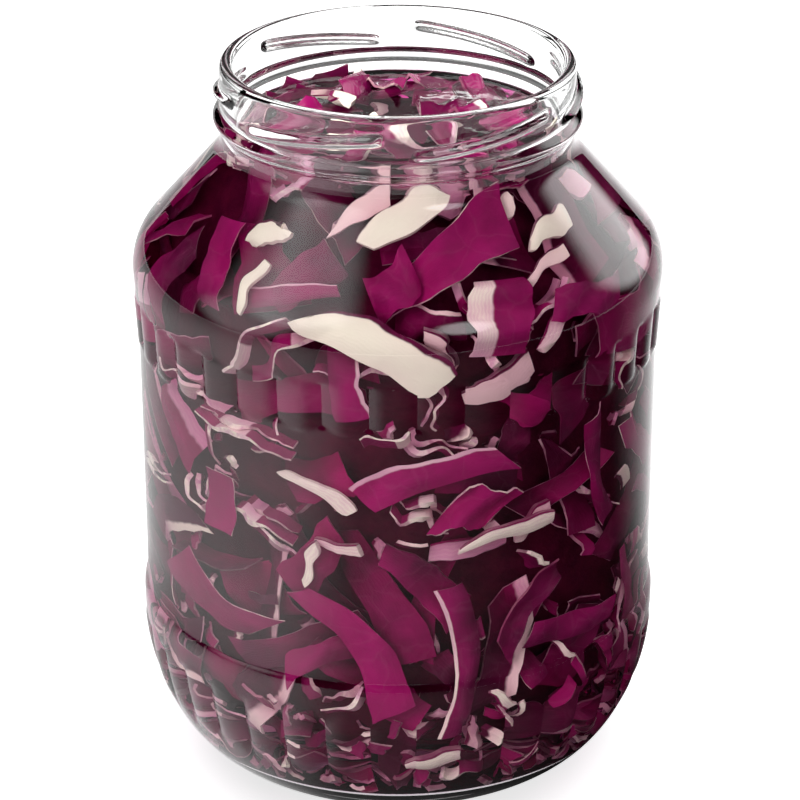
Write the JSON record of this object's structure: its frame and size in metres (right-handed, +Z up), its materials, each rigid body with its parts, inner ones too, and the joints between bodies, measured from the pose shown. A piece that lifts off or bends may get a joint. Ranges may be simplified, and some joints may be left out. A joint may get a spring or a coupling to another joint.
{
  "type": "canning jar",
  "caption": "Open clear glass canning jar with two bands of pillow panels and a screw neck, packed with shredded red cabbage.",
  "frame": {"origin": "centre of the ring that the jar stands on", "axes": "+Z up along the jar's axis, -Y towards the side that the picture shows"},
  "size_m": [0.143, 0.143, 0.197],
  "materials": {
    "clear_glass": "clear, glossy",
    "red_cabbage": null
  },
  "bodies": {
    "root": {"glass_jar": "clear_glass", "cabbage_heap": "red_cabbage"}
  },
  "joints": []
}
